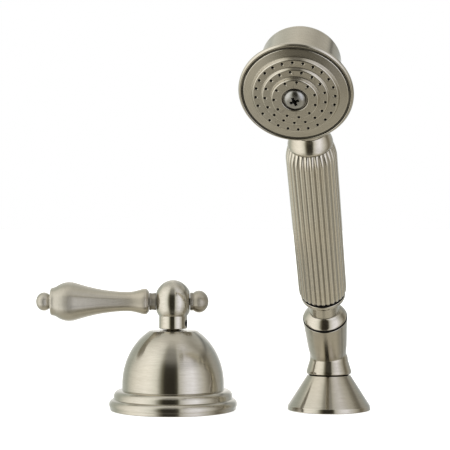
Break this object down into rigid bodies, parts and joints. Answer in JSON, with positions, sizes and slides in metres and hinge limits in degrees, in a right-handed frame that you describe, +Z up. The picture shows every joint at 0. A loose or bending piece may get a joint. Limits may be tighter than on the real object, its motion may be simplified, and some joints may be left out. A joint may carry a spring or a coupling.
{
  "type": "deck-mounted hand shower with lever diverter",
  "caption": "Deck-mounted hand shower in brushed nickel: a lever diverter under a bell escutcheon, and a fluted hand shower standing in a leaning swivel cradle on a cone flange.",
  "frame": {"origin": "centre of the footprint's bounding box, on the deck plane that both flanges stand on", "axes": "+Z up from the deck; +X from the diverter to the hand shower; -Y towards the user, the way the hand shower leans"},
  "size_m": [0.2005, 0.2167, 0.2108],
  "materials": {
    "brushed_nickel": "brushed",
    "brass": "machined",
    "plated_steel": "bright",
    "black_rubber": "matte",
    "valve_ceramic": "polished",
    "white_plastic": "matte"
  },
  "bodies": {
    "deck_body": {"bell_escutcheon": "brushed_nickel", "bell_gasket": "black_rubber", "valve_riser": "brass", "riser_washer": "plated_steel", "riser_nut": "brass", "cartridge_body": "brass", "bonnet_nut": "brass", "disc_seal": "black_rubber", "fixed_disc": "valve_ceramic", "stem_oring": "black_rubber", "cone_flange": "brushed_nickel", "flange_gasket": "black_rubber", "shank": "brass", "shank_washer": "plated_steel", "shank_nut": "brass", "swivel_oring": "black_rubber", "swivel_clip": "plated_steel"},
    "lever_handle": {"hub": "brushed_nickel", "lever": "brushed_nickel", "lever_collar": "brushed_nickel", "lever_stud": "plated_steel", "lever_tip_finial": "brushed_nickel", "rear_finial": "brushed_nickel", "set_screw": "plated_steel", "stem": "brass", "moving_disc": "valve_ceramic", "stem_clip": "plated_steel"},
    "cradle_holder": {"cradle": "brushed_nickel"},
    "cradle_socket": {"cradle_liner": "white_plastic", "cradle_seal": "black_rubber"},
    "hand_shower": {"hose_connector": "brushed_nickel", "connector_washer": "black_rubber", "end_ferrule": "brushed_nickel", "check_valve": "white_plastic", "grip_seal": "black_rubber", "fluted_grip": "brushed_nickel", "water_tube": "brass", "neck_collar": "brushed_nickel", "head_shell": "brushed_nickel", "flow_plate": "white_plastic", "spray_face": "brushed_nickel", "face_seal": "black_rubber", "face_screw": "plated_steel"}
  },
  "joints": [
    {"name": "lever_turn", "type": "hinge", "parent": "deck_body", "child": "lever_handle", "pos_m": [-0.018, 0.07, 0.0648], "axis": [0, 0, 1], "range_deg": [0, 90]},
    {"name": "holder_swivel", "type": "hinge", "parent": "deck_body", "child": "cradle_holder", "pos_m": [0.0754, 0.07, 0.021], "axis": [0, 0, 1], "range_deg": [-90, 90]},
    {"name": "handset_twist", "type": "hinge", "parent": "cradle_holder", "child": "cradle_socket", "pos_m": [0.075, 0.07, 0.033], "axis": [-0.103, -0.6153, 0.7815], "continuous": true},
    {"name": "handset_lift", "type": "slide", "parent": "cradle_socket", "child": "hand_shower", "axis": [-0.103, -0.6153, 0.7815], "range_m": [0, 0.04]}
  ]
}
